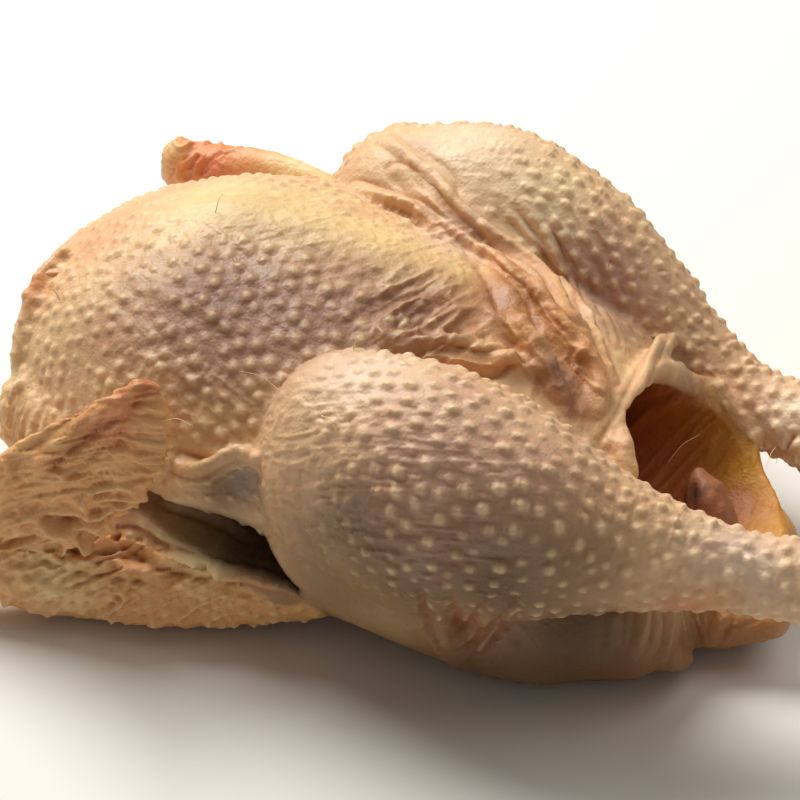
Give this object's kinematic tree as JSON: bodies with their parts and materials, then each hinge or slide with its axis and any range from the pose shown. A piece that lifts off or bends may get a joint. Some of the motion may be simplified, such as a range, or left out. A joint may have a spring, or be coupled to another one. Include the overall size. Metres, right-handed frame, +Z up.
{
  "type": "whole raw chicken",
  "caption": "Whole raw chicken lying on its back, breast up, with folded wings, bent legs with the feet off, tail and an open body cavity.",
  "frame": {"origin": "centre of the bounding box's bottom face, level with the table under the bird's back", "axes": "+X from the neck end towards the tail and the cut hocks, +Y towards the bird's left side, +Z up from the table"},
  "size_m": [0.3007, 0.1873, 0.1078],
  "materials": {
    "skin": "raw poultry skin, moist with a soft uneven sheen"
  },
  "bodies": {
    "root": {"chicken": "skin"}
  },
  "joints": []
}
